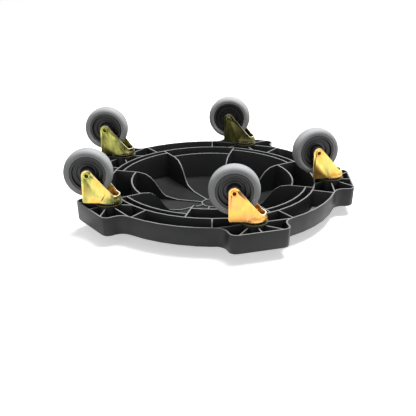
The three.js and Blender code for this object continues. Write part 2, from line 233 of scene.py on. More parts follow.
# %% [markdown]
# ## Camera
# The view is taken from about 22 degrees off the caddy's own plane, from the wheels' side. The camera's
# top points to -Z, because the caddy lies wheels up. A 70 mm lens keeps the far casters only a little
# smaller.

# %% Camera
LENS = 70.1
CAMERA_SPOT = Vector((0, 1.680, -0.6842))
PITCH = math.radians(22.38)
YAW = math.radians(-0.31)

forward = Vector((math.sin(YAW) * math.cos(PITCH), -math.cos(YAW) * math.cos(PITCH), math.sin(PITCH)))
top = Vector((0, 0, -1))
top = (top - top.dot(forward) * forward).normalized()
right = forward.cross(top)
camera_data = bpy.data.cameras.new("camera")
camera_data.lens = LENS
camera = bpy.data.objects.new("camera", camera_data)
bpy.context.scene.collection.objects.link(camera)
turn = Matrix((right, top, -forward)).transposed().to_4x4()
camera.matrix_world = Matrix.Translation(CAMERA_SPOT) @ turn
bpy.context.scene.camera = camera
print("camera at", tuple(round(value, 3) for value in CAMERA_SPOT))

# %% [markdown]
# ## Shader node groups
# Plastic, rubber and metal share a few effects: a fine grain, edges lighter from wear and from a painted
# highlight, a little dust, and the rainbow film of passivated zinc. Each is a node group with named sockets,
# built once and used with its own values.

# %% Helpers for node groups and materials
def new_group(name, inputs, outputs):
    """A shader node group with (name, type, default) inputs and (name, type) outputs."""
    group = bpy.data.node_groups.new(name, "ShaderNodeTree")
    for label, kind, default in inputs:
        socket = group.interface.new_socket(name=label, in_out="INPUT", socket_type=kind)
        socket.default_value = default
    for label, kind in outputs:
        group.interface.new_socket(name=label, in_out="OUTPUT", socket_type=kind)
    start = group.nodes.new("NodeGroupInput")
    end = group.nodes.new("NodeGroupOutput")
    return group, start.outputs, end.inputs


def node(tree, kind, values=None, links=None, **settings):
    """A node with its settings, socket values and incoming links."""
    made = tree.nodes.new(kind)
    for key, value in settings.items():
        setattr(made, key, value)
    for key, value in (values or {}).items():
        made.inputs[key].default_value = value
    for key, source in (links or {}).items():
        tree.links.new(source, made.inputs[key])
    return made


def math_node(tree, operation, first, second=None, clamp=False):
    """The output of a Math node on sockets or numbers."""
    made = tree.nodes.new("ShaderNodeMath")
    made.operation = operation
    made.use_clamp = clamp
    for slot, value in enumerate((first, second)):
        if value is None:
            continue
        if isinstance(value, (int, float)):
            made.inputs[slot].default_value = value
        else:
            tree.links.new(value, made.inputs[slot])
    return made.outputs[0]


def mixed(tree, share, first, second):
    """The colour output of a Mix node between two colours or colour sockets."""
    made = tree.nodes.new("ShaderNodeMix")
    made.data_type = "RGBA"
    tree.links.new(share, made.inputs["Factor"])
    for slot, value in ((6, first), (7, second)):
        if isinstance(value, bpy.types.NodeSocket):
            tree.links.new(value, made.inputs[slot])
        else:
            made.inputs[slot].default_value = (*value, 1)
    return made.outputs[2]


# %% Group: grain
# Fine pits and soft waves of a moulded or cast surface, as a height.
def grain_group():
    group, given, out = new_group(
        "grain",
        [("Pit Scale", "NodeSocketFloat", 1500.0), ("Wave Scale", "NodeSocketFloat", 60.0)],
        [("Height", "NodeSocketFloat"), ("Mottle", "NodeSocketFloat")],
    )
    place = node(group, "ShaderNodeTexCoord").outputs["Object"]
    pits = node(group, "ShaderNodeTexNoise", {"Detail": 3.0, "Roughness": 0.6},
                {"Vector": place, "Scale": given["Pit Scale"]}).outputs[0]
    waves = node(group, "ShaderNodeTexNoise", {"Detail": 4.0, "Roughness": 0.55},
                 {"Vector": place, "Scale": given["Wave Scale"]}).outputs[0]
    height = math_node(group, "ADD", pits, math_node(group, "MULTIPLY", waves, 0.5))
    group.links.new(height, out["Height"])
    group.links.new(waves, out["Mottle"])
    return group


GRAIN = grain_group()

# %% Group: edge wear and painted highlight
# Handling rubs the corners of a moulding or a pressing first, and corners catch the light, so this mask is
# partly edge wear and partly a painted highlight on the edges. A bevel node sees a corner before the mesh
# does, so where its normal differs from the face's own, the mask is white, broken up by noise.
def worn_and_highlit_edges_group():
    group, given, out = new_group(
        "edge_wear_and_highlight",
        [("Gain", "NodeSocketFloat", 6.0), ("Breakup", "NodeSocketFloat", 180.0)],
        [("Mask", "NodeSocketFloat")],
    )
    bevel = node(group, "ShaderNodeBevel", {"Radius": 0.0009}, samples=6)
    face = node(group, "ShaderNodeNewGeometry")
    together = node(group, "ShaderNodeVectorMath", links={0: bevel.outputs[0], 1: face.outputs["Normal"]},
                    operation="DOT_PRODUCT").outputs["Value"]
    place = node(group, "ShaderNodeTexCoord").outputs["Object"]
    noise = node(group, "ShaderNodeTexNoise", {"Detail": 3.0},
                 {"Vector": place, "Scale": given["Breakup"]}).outputs[0]
    apart = math_node(group, "SUBTRACT", 1.0, together)
    mask = math_node(group, "MULTIPLY", math_node(group, "MULTIPLY", apart, given["Gain"]), noise, clamp=True)
    group.links.new(mask, out["Mask"])
    return group


EDGE_WEAR_AND_HIGHLIGHT = worn_and_highlit_edges_group()

# %% Group: dust
# Dust settles in soft patches.
def dust_group():
    group, given, out = new_group(
        "dust",
        [("Scale", "NodeSocketFloat", 14.0), ("Cover", "NodeSocketFloat", 0.45)],
        [("Mask", "NodeSocketFloat")],
    )
    place = node(group, "ShaderNodeTexCoord").outputs["Object"]
    patches = node(group, "ShaderNodeTexNoise", {"Detail": 6.0, "Roughness": 0.65},
                   {"Vector": place, "Scale": given["Scale"]}).outputs[0]
    above = math_node(group, "SUBTRACT", patches, math_node(group, "SUBTRACT", 1.0, given["Cover"]))
    mask = math_node(group, "MULTIPLY", above, 3.0, clamp=True)
    group.links.new(mask, out["Mask"])
    return group


DUST = dust_group()

# %% Group: passivation film
# Yellow passivated zinc shows the colours of a thin film. The film's thickness drifts over a pressing and
# ran in streaks while it dried, and each thickness has its own colour on the ramp.
FILM_COLOURS = [
    (0.00, (0.050, 0.045, 0.018)),
    (0.14, (0.130, 0.125, 0.040)),
    (0.30, (0.330, 0.340, 0.085)),
    (0.44, (0.640, 0.520, 0.150)),
    (0.58, (0.780, 0.440, 0.090)),
    (0.72, (0.780, 0.370, 0.110)),
    (0.86, (0.640, 0.270, 0.190)),
    (1.00, (0.720, 0.480, 0.290)),
]


def film_group():
    group, given, out = new_group(
        "film",
        [("Thickness", "NodeSocketFloat", 0.55), ("Swing", "NodeSocketFloat", 0.5)],
        [("Colour", "NodeSocketColor"), ("Streak", "NodeSocketFloat")],
    )
    place = node(group, "ShaderNodeTexCoord").outputs["Object"]
    stretched = node(group, "ShaderNodeMapping", {"Scale": (1.0, 1.0, 0.28)}, {"Vector": place}).outputs[0]
    drift = node(group, "ShaderNodeTexNoise", {"Scale": 34.0, "Detail": 1.5, "Distortion": 0.4},
                 {"Vector": place}).outputs[0]
    streak = node(group, "ShaderNodeTexNoise", {"Scale": 150.0, "Detail": 2.0, "Distortion": 0.6},
                  {"Vector": stretched}).outputs[0]
    both = math_node(group, "ADD", math_node(group, "MULTIPLY", drift, 0.75),
                     math_node(group, "MULTIPLY", streak, 0.25))
    moved = math_node(group, "MULTIPLY", math_node(group, "SUBTRACT", both, 0.5), given["Swing"])
    level = math_node(group, "ADD", given["Thickness"], moved, clamp=True)
    ramp = node(group, "ShaderNodeValToRGB", links={"Fac": level})
    stops = ramp.color_ramp.elements
    stops[0].position, stops[0].color = FILM_COLOURS[0][0], (*FILM_COLOURS[0][1], 1)
    stops[1].position, stops[1].color = FILM_COLOURS[-1][0], (*FILM_COLOURS[-1][1], 1)
    for position, colour in FILM_COLOURS[1:-1]:
        stops.new(position).color = (*colour, 1)
    group.links.new(ramp.outputs["Color"], out["Colour"])
    group.links.new(streak, out["Streak"])
    return group


FILM = film_group()
print("node groups", [group.name for group in bpy.data.node_groups])

# %% [markdown]
# ## Finishes
# One function makes one finish. Values that are the same all over sit on the shader's own sockets, and
# only what changes over the surface is linked.

# %% A material with its shader, and its shared effects
def new_material(name, **values):
    material = bpy.data.materials.new(name)
    material.use_nodes = True
    shader = material.node_tree.nodes["Principled BSDF"]
    for key, value in values.items():
        shader.inputs[key.replace("_", " ")].default_value = value
    return material, material.node_tree, shader


def use_group(tree, group, values=None):
    made = tree.nodes.new("ShaderNodeGroup")
    made.node_tree = group
    for key, value in (values or {}).items():
        made.inputs[key].default_value = value
    return made.outputs


def bump(tree, shader, height, strength, distance):
    made = node(tree, "ShaderNodeBump", {"Strength": strength, "Distance": distance}, {"Height": height})
    tree.links.new(made.outputs[0], shader.inputs["Normal"])


def ranged(tree, value, low, high):
    """A mask stretched to run from low to high."""
    return node(tree, "ShaderNodeMapRange", {"To Min": low, "To Max": high}, {"Value": value}).outputs[0]


# %% Black moulded deck plastic
PLATE_T = 4.6 * MM  # just over the load plate's thickness
PLATE_UNDER_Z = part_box("deck")[1].z - PLATE_T
PAINTED_HIGHLIGHT_TILT = 0.25  # how far a face must turn towards -Z, the key light's side, before it gets the painted highlight
PAINTED_HIGHLIGHT_GAIN = 1.6


def deck_plastic():
    """Semi-matt black, spark-textured, with corners lighter from edge wear and a painted highlight, and the
    faces of the open rib edges that turn towards -Z painted a paler grey as a painted highlight.
    """
    material, tree, shader = new_material("deck_plastic", Specular_IOR_Level=0.3)
    grain = use_group(tree, GRAIN, {"Pit Scale": 1300.0, "Wave Scale": 34.0})
    wear_and_highlight = use_group(tree, EDGE_WEAR_AND_HIGHLIGHT, {"Gain": 5.0, "Breakup": 120.0})["Mask"]
    dust = use_group(tree, DUST, {"Scale": 11.0, "Cover": 0.5})["Mask"]
    facing = node(tree, "ShaderNodeNewGeometry").outputs["Normal"]
    down = node(tree, "ShaderNodeSeparateXYZ", links={0: facing}).outputs["Z"]
    place = node(tree, "ShaderNodeTexCoord").outputs["Object"]
    level = node(tree, "ShaderNodeSeparateXYZ", links={0: place}).outputs["Z"]
    # Painted highlight: below the load plate, faces that turn towards -Z, where the key light falls, are
    # painted a paler grey, broken up by the grain's mottle.
    beyond = math_node(tree, "LESS_THAN", level, PLATE_UNDER_Z)
    outward = math_node(tree, "ADD", math_node(tree, "MULTIPLY", down, -1.0), -PAINTED_HIGHLIGHT_TILT)
    painted_highlight_facing = math_node(tree, "MULTIPLY", outward, PAINTED_HIGHLIGHT_GAIN, clamp=True)
    painted_highlight_area = math_node(tree, "MULTIPLY", beyond, painted_highlight_facing)
    painted_highlight = math_node(tree, "MULTIPLY", painted_highlight_area, ranged(tree, grain["Mottle"], 0.55, 1.3), clamp=True)
    dusted = math_node(tree, "MULTIPLY", dust, 0.35)
    plain = mixed(tree, dusted, (0.0055, 0.0057, 0.0062), (0.014, 0.014, 0.0145))
    # Corners lighter: partly edge wear, partly a painted highlight.
    worn_and_highlit = mixed(tree, math_node(tree, "MULTIPLY", wear_and_highlight, 0.5), plain, (0.07, 0.07, 0.072))
    # The paler grey (0.23) is the painted highlight on the rib edges.
    tree.links.new(mixed(tree, painted_highlight, worn_and_highlit, (0.23, 0.232, 0.237)), shader.inputs["Base Color"])
    tree.links.new(ranged(tree, grain["Mottle"], 0.40, 0.56), shader.inputs["Roughness"])
    bump(tree, shader, grain["Height"], 0.22, 0.00025)
    return material


def hub_plastic():
    """Black plastic, a little glossier than the deck, with a fine grain."""
    material, tree, shader = new_material("hub_plastic", Specular_IOR_Level=0.45)
    grain = use_group(tree, GRAIN, {"Pit Scale": 1800.0, "Wave Scale": 70.0})
    wear_and_highlight = use_group(tree, EDGE_WEAR_AND_HIGHLIGHT, {"Gain": 4.0, "Breakup": 300.0})["Mask"]
    dust = use_group(tree, DUST, {"Scale": 40.0, "Cover": 0.5})["Mask"]
    plain = mixed(tree, math_node(tree, "MULTIPLY", dust, 0.3), (0.009, 0.009, 0.010), (0.03, 0.03, 0.031))
    # Corners lighter: partly edge wear, partly a painted highlight.
    tree.links.new(mixed(tree, math_node(tree, "MULTIPLY", wear_and_highlight, 0.4), plain, (0.08, 0.08, 0.083)),
                   shader.inputs["Base Color"])
    tree.links.new(ranged(tree, grain["Mottle"], 0.34, 0.50), shader.inputs["Roughness"])
    bump(tree, shader, grain["Height"], 0.18, 0.0002)
    return material


def tyre_rubber():
    """Grey non-marking rubber: matt, slightly mottled, with dust in its pores."""
    material, tree, shader = new_material("tyre_rubber", Specular_IOR_Level=0.35)
    grain = use_group(tree, GRAIN, {"Pit Scale": 2200.0, "Wave Scale": 45.0})
    wear_and_highlight = use_group(tree, EDGE_WEAR_AND_HIGHLIGHT, {"Gain": 4.0, "Breakup": 260.0})["Mask"]
    dust = use_group(tree, DUST, {"Scale": 28.0, "Cover": 0.5})["Mask"]
    plain = mixed(tree, grain["Mottle"], (0.29, 0.295, 0.30), (0.37, 0.375, 0.38))
    dusty = mixed(tree, math_node(tree, "MULTIPLY", dust, 0.35), plain, (0.46, 0.46, 0.455))
    # Corners lighter: partly edge wear, partly a painted highlight.
    tree.links.new(mixed(tree, math_node(tree, "MULTIPLY", wear_and_highlight, 0.35), dusty, (0.50, 0.50, 0.50)),
                   shader.inputs["Base Color"])
    tree.links.new(ranged(tree, grain["Mottle"], 0.62, 0.8), shader.inputs["Roughness"])
    bump(tree, shader, grain["Height"], 0.25, 0.0003)
    return material


def yellow_zinc(name, thickness, swing):
    """Passivated zinc on pressed steel, at this thickness of film."""
    material, tree, shader = new_material(name, Metallic=1.0)
    film = use_group(tree, FILM, {"Thickness": thickness, "Swing": swing})
    wear_and_highlight = use_group(tree, EDGE_WEAR_AND_HIGHLIGHT, {"Gain": 5.0, "Breakup": 400.0})["Mask"]
    grain = use_group(tree, GRAIN, {"Pit Scale": 900.0, "Wave Scale": 120.0})
    # Corners paler: partly edge wear, partly a painted highlight.
    tree.links.new(mixed(tree, math_node(tree, "MULTIPLY", wear_and_highlight, 0.6), film["Colour"], (0.90, 0.82, 0.62)),
                   shader.inputs["Base Color"])
    tree.links.new(ranged(tree, film["Streak"], 0.26, 0.46), shader.inputs["Roughness"])
    bump(tree, shader, grain["Height"], 0.10, 0.0002)
    return material


def plain_steel(name, colour, low, high):
    """Bright metal with a fine grain, rough between low and high."""
    material, tree, shader = new_material(name, Metallic=1.0)
    grain = use_group(tree, GRAIN, {"Pit Scale": 1200.0, "Wave Scale": 150.0})
    wear_and_highlight = use_group(tree, EDGE_WEAR_AND_HIGHLIGHT, {"Gain": 5.0, "Breakup": 500.0})["Mask"]
    darker = tuple(0.8 * part for part in colour)
    toned = mixed(tree, grain["Mottle"], darker, colour)
    # Corners paler: partly edge wear, partly a painted highlight.
    tree.links.new(mixed(tree, math_node(tree, "MULTIPLY", wear_and_highlight, 0.5), toned, (0.95, 0.94, 0.90)),
                   shader.inputs["Base Color"])
    tree.links.new(ranged(tree, grain["Mottle"], low, high), shader.inputs["Roughness"])
    bump(tree, shader, grain["Height"], 0.08, 0.0002)
    return material


DECK_PLASTIC = deck_plastic()
HUB_PLASTIC = hub_plastic()
TYRE_RUBBER = tyre_rubber()
# Pale cream edge metal: partly bare sheared steel, partly a painted highlight along the fork's edges.
CUT_EDGE_AND_HIGHLIGHT = plain_steel("cut_edge_and_highlight_zinc", (0.95, 0.87, 0.66), 0.45, 0.60)
BRIGHT_ZINC = plain_steel("bright_zinc", (0.72, 0.73, 0.75), 0.22, 0.38)
BEARING_STEEL = plain_steel("bearing_steel", (0.55, 0.55, 0.57), 0.12, 0.22)
FILM_OF_CASTER = {1: (0.52, 0.90), 2: (0.64, 0.90), 3: (0.42, 1.20), 4: (0.26, 1.20), 5: (0.12, 0.40)}
YELLOW_ZINC = {
    number: yellow_zinc(f"yellow_zinc_{number}", *FILM_OF_CASTER[number]) for number in CASTERS
}
# Painted shade: the upper race gets a thin, dark film, so that its face under the crown looks as dark as the
# shade and dark reflection in the gap there.
RACE_ZINC_PAINTED_SHADE = yellow_zinc("yellow_zinc_race_painted_shade", 0.12, 0.40)
print("materials", len(bpy.data.materials))

# %% [markdown]
# ## Handing a piece over
# Every finished piece gets its material and rides on the body that carries it, and the frame nodes it stands
# for are hidden.

# %% Hand over a piece
def hand_over(thing, material, body, slot, *nodes):
    if material is not None:
        thing.data.materials.clear()
        thing.data.materials.append(material)
    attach(thing, body)
    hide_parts(*nodes)


def facets(thing):
    return sum(len(face.vertices) - 2 for face in thing.data.polygons)


# %% [markdown]
# ## The deck
# One large moulding: skirt, shelf, raised plateau, rings, bay ribs and gussets. Its shape is a matter of
# strength and belongs to the frame, so its skin is taken from there: a merged copy, freed of its inner
# triangle lines, with the small radius on every edge that a real mould leaves.

# %% The deck moulding
EDGE_ROUND = 0.45 * MM


def deck_moulding():
    source = frame["nodes"]["deck"]
    select_only(source)
    bpy.ops.object.duplicate()
    thing = bpy.context.active_object
    thing.name = "deck_moulding"
    thing.data.name = "deck_moulding"
    thing.parent = None
    bpy.ops.object.mode_set(mode="EDIT")
    bpy.ops.mesh.select_all(action="SELECT")
    bpy.ops.mesh.remove_doubles(threshold=2e-6)
    bpy.ops.mesh.dissolve_limited(angle_limit=math.radians(0.5))
    bpy.ops.object.mode_set(mode="OBJECT")
    rounded(thing, EDGE_ROUND, 2, math.radians(25))
    smooth(thing, math.radians(35))
    return thing


deck = deck_moulding()
hand_over(deck, DECK_PLASTIC, "deck_body", "deck_plastic", "deck")
print("deck triangles", facets(deck))

# %% [markdown]
# ## Wheels
# The tyre is a soft grey ring with round shoulders and a thin parting line. The hub is a stepped black
# disc with a raised boss. Both are turned shapes: half a profile is drawn, mirrored in the list of
# points, and spun.

# %% Wheel sizes from the frame
first = caster_place(1)
trail = (Vector(joints["roll_1"]["pos_m"]) - Vector(joints["swivel_1"]["pos_m"])).xy.length
axle_z = joints["roll_1"]["pos_m"][2]
AXLE = Vector((-trail, 0, axle_z))
ACROSS = (0, 1, 0)
tyre_low, tyre_high = local_box("tyre_1", first)
hub_low, hub_high = local_box("wheel_hub_1", first)
WHEEL_R = (tyre_high.z - tyre_low.z) / 2
TREAD_HALF = (tyre_high.y - tyre_low.y) / 2
HUB_R = (hub_high.z - hub_low.z) / 2
BOSS_HALF = (hub_high.y - hub_low.y) / 2
WHEEL_STEPS = 96


def about_axle(profile):
    """Profile points as (radius, across) pairs, set beside the axle."""
    return [(AXLE.x + radius, across, AXLE.z) for radius, across in profile]


def both_halves(half):
    """A half profile from the outside edge to the bore, with its mirror image."""
    return [(radius, -across) for radius, across in reversed(half)] + half


# %% Tyre
SHOULDER_R = 8 * MM
BEAD_STEP = 1.2 * MM
BEAD_R = HUB_R + 4.6 * MM  # where the tyre's side steps in towards the hub
HUB_GAP = 0.45 * MM
PARTING_HALF = 0.7 * MM  # half the width of the groove left by the mould's parting line
PARTING_DEPTH = 0.25 * MM
TREAD_FLAT_HALF = 4 * MM
CROWN_DROP = 0.3 * MM  # how far the tread has rounded off at the end of its flat


def tyre_model():
    bore = HUB_R + HUB_GAP
    crown = [
        (WHEEL_R - PARTING_DEPTH, PARTING_HALF / 2),
        (WHEEL_R, PARTING_HALF),
        (WHEEL_R - CROWN_DROP, TREAD_FLAT_HALF),
    ]
    middle = (WHEEL_R - 2 * CROWN_DROP - SHOULDER_R, TREAD_HALF - SHOULDER_R)
    shoulder = arc(middle, SHOULDER_R, 0, math.pi / 2, 10)
    side = [
        (BEAD_R, TREAD_HALF - 0.1 * MM),
        (BEAD_R - 1.4 * MM, TREAD_HALF - BEAD_STEP),
        (bore, TREAD_HALF - BEAD_STEP),
    ]
    thing = spun("tyre_model", about_axle(both_halves(crown + shoulder + side)), WHEEL_STEPS, AXLE, ACROSS)
    return smooth(rounded(thing, 0.35 * MM, 2, math.radians(32)), math.radians(50))


tyre_once = tyre_model()

# %% Hub
BORE_R = 7.6 * MM
HUB_RIM_T = 5 * MM
RIM_RECESS = 1.6 * MM  # how far the hub's rim lies inside the tyre's side
RIB_OUTER_R = 26.0 * MM
RIB_INNER_R = 21.8 * MM
RIB_CHAMFER = 0.6 * MM
RIB_RECESS = 6.2 * MM
BOSS_FOOT_R = 13.4 * MM
BOSS_R = 12.2 * MM


def hub_model():
    rim = HUB_R - HUB_RIM_T
    half = [
        (HUB_R, TREAD_HALF - RIM_RECESS),
        (rim, TREAD_HALF - RIM_RECESS),
        (rim - 1.2 * MM, TREAD_HALF - 6.4 * MM),
        (RIB_OUTER_R, TREAD_HALF - 7.6 * MM),
        (RIB_OUTER_R - RIB_CHAMFER, TREAD_HALF - RIB_RECESS),
        (RIB_INNER_R + RIB_CHAMFER, TREAD_HALF - RIB_RECESS),
        (RIB_INNER_R, TREAD_HALF - 8.4 * MM),
        (15.6 * MM, TREAD_HALF - 9.4 * MM),
        (BOSS_FOOT_R, TREAD_HALF - 2.0 * MM),
        (BOSS_R, BOSS_HALF - 0.6 * MM),
        (BOSS_R - 0.8 * MM, BOSS_HALF),
        (BORE_R, BOSS_HALF),
    ]
    thing = spun("hub_model", about_axle(both_halves(half)), WHEEL_STEPS, AXLE, ACROSS)
    return smooth(rounded(thing, 0.5 * MM, 2, math.radians(25)), math.radians(45))


hub_once = hub_model()
for number in CASTERS:
    body = f"wheel_{number}"
    tyre = copied(tyre_once, f"tyre_ring_{number}", caster_place(number))
    hand_over(tyre, TYRE_RUBBER, body, "tyre_rubber", f"tyre_{number}")
    hub = copied(hub_once, f"hub_disc_{number}", caster_place(number))
    hand_over(hub, HUB_PLASTIC, body, "hub_plastic", f"wheel_hub_{number}")
print("tyre", facets(tyre_once), "hub", facets(hub_once))

# %% [markdown]
# ## Axle and bearing sleeve
# The axle is a steel tube whose ends are flared over the fork's legs, so each side shows a bright ring
# with a dark hole. The sleeve between the legs is what the hub turns on.

# %% Axle and sleeve
axle_low, axle_high = local_box("axle_tube_1", first)
sleeve_low, sleeve_high = local_box("bearing_sleeve_1", first)
fork_low, fork_high = local_box("fork_1", first)
AXLE_END = axle_high.y
FLARE_R = (axle_high.z - axle_low.z) / 2
AXLE_R = 5 * MM
AXLE_BORE_R = 3.6 * MM
FLARE_SEAT = 22.8 * MM  # from the wheel's middle to the flare, just outside the fork's legs
RUN_GAP = 0.3 * MM
SMALL_STEPS = 48


def axle_model():
    half = [
        (AXLE_R, FLARE_SEAT),
        (FLARE_R, FLARE_SEAT),
        (FLARE_R, FLARE_SEAT + 0.5 * MM),
        (FLARE_R - 1.1 * MM, AXLE_END - 0.15 * MM),
        (AXLE_BORE_R + 1.2 * MM, AXLE_END),
        (AXLE_BORE_R, AXLE_END - 1.0 * MM),
    ]
    thing = spun("axle_model", about_axle(both_halves(half)), SMALL_STEPS, AXLE, ACROSS)
    return smooth(rounded(thing, 0.2 * MM), math.radians(45))


def sleeve_model():
    outer = (sleeve_high.z - sleeve_low.z) / 2
    half = [(outer, sleeve_high.y), (AXLE_R + RUN_GAP, sleeve_high.y)]
    thing = spun("sleeve_model", about_axle(both_halves(half)), SMALL_STEPS, AXLE, ACROSS)
    return smooth(rounded(thing, 0.3 * MM), math.radians(45))


axle_once = axle_model()
sleeve_once = sleeve_model()
for number in CASTERS:
    body = f"caster_{number}"
    axle = copied(axle_once, f"axle_rivet_{number}", caster_place(number))
    hand_over(axle, YELLOW_ZINC[number], body, "yellow_zinc", f"axle_tube_{number}")
    sleeve = copied(sleeve_once, f"sleeve_bush_{number}", caster_place(number))
    hand_over(sleeve, BRIGHT_ZINC, body, "bright_zinc", f"bearing_sleeve_{number}")

# %% [markdown]
# ## The fork
# A flat blank of 2.8 mm steel, pressed into a narrow U whose nose points forwards, with a round crown drawn
# out at its foot for the balls. Here the sheet is cut the other way round: a U-shaped wall and a flared crown
# are joined, and the blank's side outline then cuts them. The cut faces get a paler cream metal: partly the
# bare edges that shears leave, partly a painted highlight along the edges.

# %% Fork sizes
SHEET = 2.8 * MM
LEG_INNER = 19.7 * MM
LEG_OUT = LEG_INNER + SHEET
CROWN_TOP = fork_high.z
CROWN_UNDER = CROWN_TOP - SHEET
EAR_R = (axle_z - fork_low.z)
FOOT_X = fork_low.x
NOSE_X = 2 * MM
NOSE_DEPTH = 12 * MM
NOSE_FLAT = 14 * MM
FOOT_CORNER = 4 * MM
CROWN_R = 26 * MM
CROWN_FLARE = 11 * MM
CROWN_BACK_X = -29 * MM
KINGPIN_HOLE_R = 10.6 * MM
OVER = 4 * MM
NOSE_STEPS = 24
CROWN_STEPS = 72


def u_plan(half, z):
    """A fork's outline seen from below, straight legs and a round nose, at height z."""
    back = AXLE.x - EAR_R - OVER
    nose = arc((NOSE_X, 0), half, -math.pi / 2, math.pi / 2, NOSE_STEPS)
    return [(x, y, z) for x, y in [(back, -half)] + nose + [(back, half)]]


def touch_angle(x, z, side):
    """Where a line from the point touches the ear's circle, as an angle about the axle."""
    reach = math.hypot(x - AXLE.x, z - AXLE.z)
    return math.atan2(z - AXLE.z, x - AXLE.x) + side * math.acos(EAR_R / reach)


def side_outline():
    nose_z = CROWN_TOP - NOSE_DEPTH
    slope_x = NOSE_X + NOSE_FLAT
    foot_z = CROWN_TOP - FOOT_CORNER
    front = touch_angle(slope_x, nose_z, -1)
    back = touch_angle(FOOT_X, foot_z, 1) - TAU
    return [
        (FOOT_X + FOOT_CORNER * 0.3, CROWN_TOP - FOOT_CORNER * 0.3),
        (FOOT_X + FOOT_CORNER, CROWN_TOP + OVER),
        (CROWN_R + OVER, CROWN_TOP + OVER),
        (CROWN_R + OVER, nose_z),
        (slope_x + 2 * MM, nose_z),
        (slope_x - 1.5 * MM, nose_z - 1.2 * MM),
        *arc((AXLE.x, AXLE.z), EAR_R, front, back, 20),
        (FOOT_X, foot_z),
    ]


def crown_cone(inset, name):
    """The round crown and its flare down to the legs, smaller by the inset."""
    top_z = CROWN_TOP if inset == 0 else CROWN_UNDER
    legs = LEG_OUT - inset
    edge = CROWN_R - inset
    low = CROWN_TOP - CROWN_FLARE
    profile = [(0, low), (legs, low), (legs + 0.25 * (edge - legs), low + 0.45 * (CROWN_UNDER - low))]
    profile += [(edge, CROWN_UNDER - 0.8 * MM), (edge, top_z), (0, top_z)]
    return spun(name, [(r, 0, z) for r, z in profile], CROWN_STEPS, closed=False)


# %% Press the fork
def fork_model():
    low = AXLE.z - EAR_R - OVER
    rise = CROWN_TOP - low
    wall = raised("fork_model", u_plan(LEG_OUT, low), (0, 0, rise))
    wall = combined(wall, crown_cone(0, "crown_outside"), "UNION")
    gap = raised("fork_gap", u_plan(LEG_INNER, low - OVER), (0, 0, CROWN_UNDER - low + OVER))
    gap = combined(gap, crown_cone(SHEET, "crown_inside"), "UNION")
    wall = combined(wall, gap, "DIFFERENCE")
    reach = AXLE.x - 2 * EAR_R
    window = raised(
        "fork_window",
        [(reach, -LEG_INNER, CROWN_UNDER - MM), (CROWN_BACK_X, -LEG_INNER, CROWN_UNDER - MM),
         (CROWN_BACK_X, LEG_INNER, CROWN_UNDER - MM), (reach, LEG_INNER, CROWN_UNDER - MM)],
        (0, 0, SHEET + 2 * MM),
    )
    wall = combined(wall, window, "DIFFERENCE")
    hole = spun("kingpin_hole", [(0, 0, CROWN_UNDER - MM), (KINGPIN_HOLE_R, 0, CROWN_UNDER - MM),
                                 (KINGPIN_HOLE_R, 0, CROWN_TOP + MM), (0, 0, CROWN_TOP + MM)],
                SMALL_STEPS, closed=False)
    wall = combined(wall, hole, "DIFFERENCE")
    bore_r = AXLE_R + RUN_GAP
    reach_y = LEG_OUT + OVER
    bore = spun("axle_bore", about_axle([(0, -reach_y), (bore_r, -reach_y), (bore_r, reach_y), (0, reach_y)]),
                SMALL_STEPS, AXLE, ACROSS, closed=False)
    wall = combined(wall, bore, "DIFFERENCE")
    blank = raised("side_blank", [(x, -2 * CROWN_R, z) for x, z in side_outline()], (0, 4 * CROWN_R, 0))
    # The cut faces take the pale cream edge metal: partly bare sheared steel, partly a painted highlight
    # along the edges.
    blank.data.materials.append(CUT_EDGE_AND_HIGHLIGHT)
    wall.data.materials.append(YELLOW_ZINC[1])
    modifier = wall.modifiers.new("cut", "BOOLEAN")
    modifier.operation = "INTERSECT"
    modifier.solver = "EXACT"
    modifier.material_mode = "TRANSFER"
    modifier.object = blank
    apply_all(wall)
    bpy.data.objects.remove(blank)
    return smooth(rounded(wall, 0.45 * MM, 2, math.radians(35)), math.radians(38))


fork_once = fork_model()
print("fork triangles", facets(fork_once), "materials", [m.name for m in fork_once.data.materials])
for number in CASTERS:
    fork = copied(fork_once, f"fork_pressing_{number}", caster_place(number))
    for slot_index, held in enumerate(fork.data.materials):
        if held.name.startswith("yellow_zinc"):
            fork.data.materials[slot_index] = YELLOW_ZINC[number]
    hand_over(fork, None, f"caster_{number}", "yellow_zinc", f"fork_{number}")

# %% [markdown]
# ## The swivel
# Above the crown sit a ring of loose balls and a pressed upper race, and a hollow kingpin holds the stack
# together like a rivet. The balls show as a row of bright dots in the thin gap between race and crown.

# %% Race, kingpin and balls
race_low, race_high = local_box("upper_race_1", pad_place(1))
pin_low, pin_high = local_box("kingpin_1", pad_place(1))
ball_low, ball_high = local_box("ball_ring_1", pad_place(1))
RACE_R = race_high.x
BALL_R = (ball_high.z - ball_low.z) / 2
BALL_CIRCLE_R = ball_high.x - BALL_R
BALL_COUNT = 24
PIN_BORE_R = 6.6 * MM
PIN_SHANK_R = 10 * MM
PIN_FLANGE_T = 2 * MM
RACE_SHOULDER = 7.5 * MM  # width of the race's sloping shoulder


def race_model():
    plate = race_high.z - race_low.z
    profile = [
        (KINGPIN_HOLE_R, race_low.z),
        (RACE_R, race_low.z),
        (RACE_R, race_low.z + plate * 0.5),
        (RACE_R - 2.0 * MM, race_low.z + plate * 0.62),
        (RACE_R - RACE_SHOULDER, race_high.z),
        (KINGPIN_HOLE_R, race_high.z),
    ]
    thing = spun("race_model", [(r, 0, z) for r, z in profile], CROWN_STEPS)
    return smooth(rounded(thing, 0.3 * MM, 2, math.radians(20)), math.radians(40))


